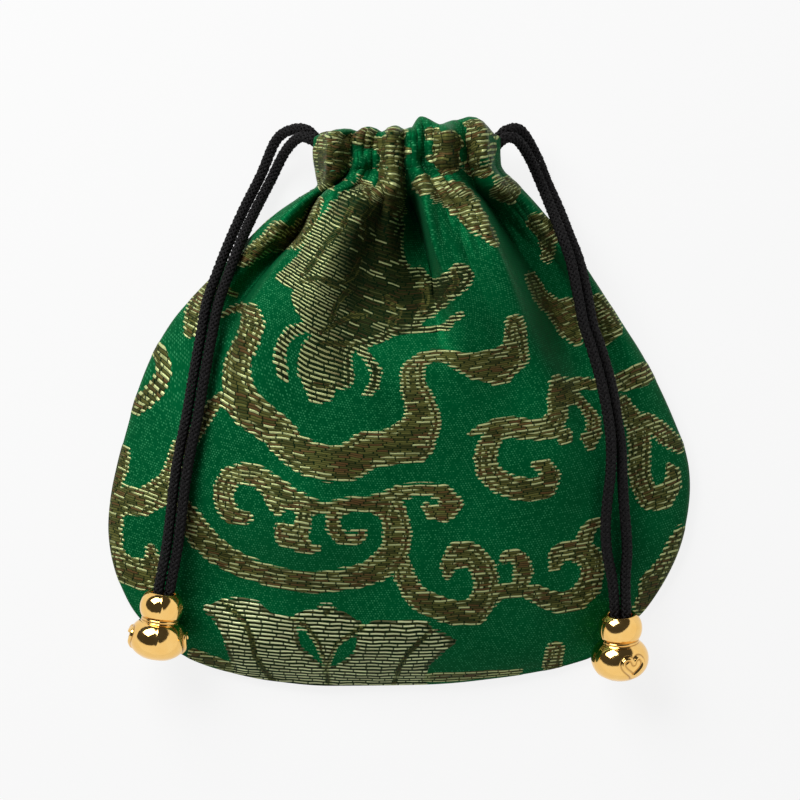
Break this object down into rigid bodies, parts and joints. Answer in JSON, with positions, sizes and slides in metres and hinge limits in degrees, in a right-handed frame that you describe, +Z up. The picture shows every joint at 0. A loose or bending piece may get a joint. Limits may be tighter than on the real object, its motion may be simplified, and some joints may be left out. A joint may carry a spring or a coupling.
{
  "type": "drawstring pouch",
  "caption": "Small gathered brocade drawstring pouch lying flat, with two cords drawn out at its sides, each ending in a gourd-shaped metal bead.",
  "frame": {"origin": "middle of the box round the two cloth panels, at the level that the pouch lies on", "axes": "+Z up, the side of the pouch that is seen; +Y from the bottom seam to the drawn mouth; +X to the right as the pouch is seen with its mouth at the top"},
  "size_m": [0.1171, 0.1141, 0.022],
  "materials": {
    "brocade": "satin ground with matt metallic floats",
    "braid": "matt",
    "plating": "polished"
  },
  "bodies": {
    "root": {"front_panel": "brocade", "back_panel": "brocade", "drawcord_left": "braid", "drawcord_right": "braid", "gourd_bead_left": "plating", "gourd_bead_right": "plating"}
  },
  "joints": []
}
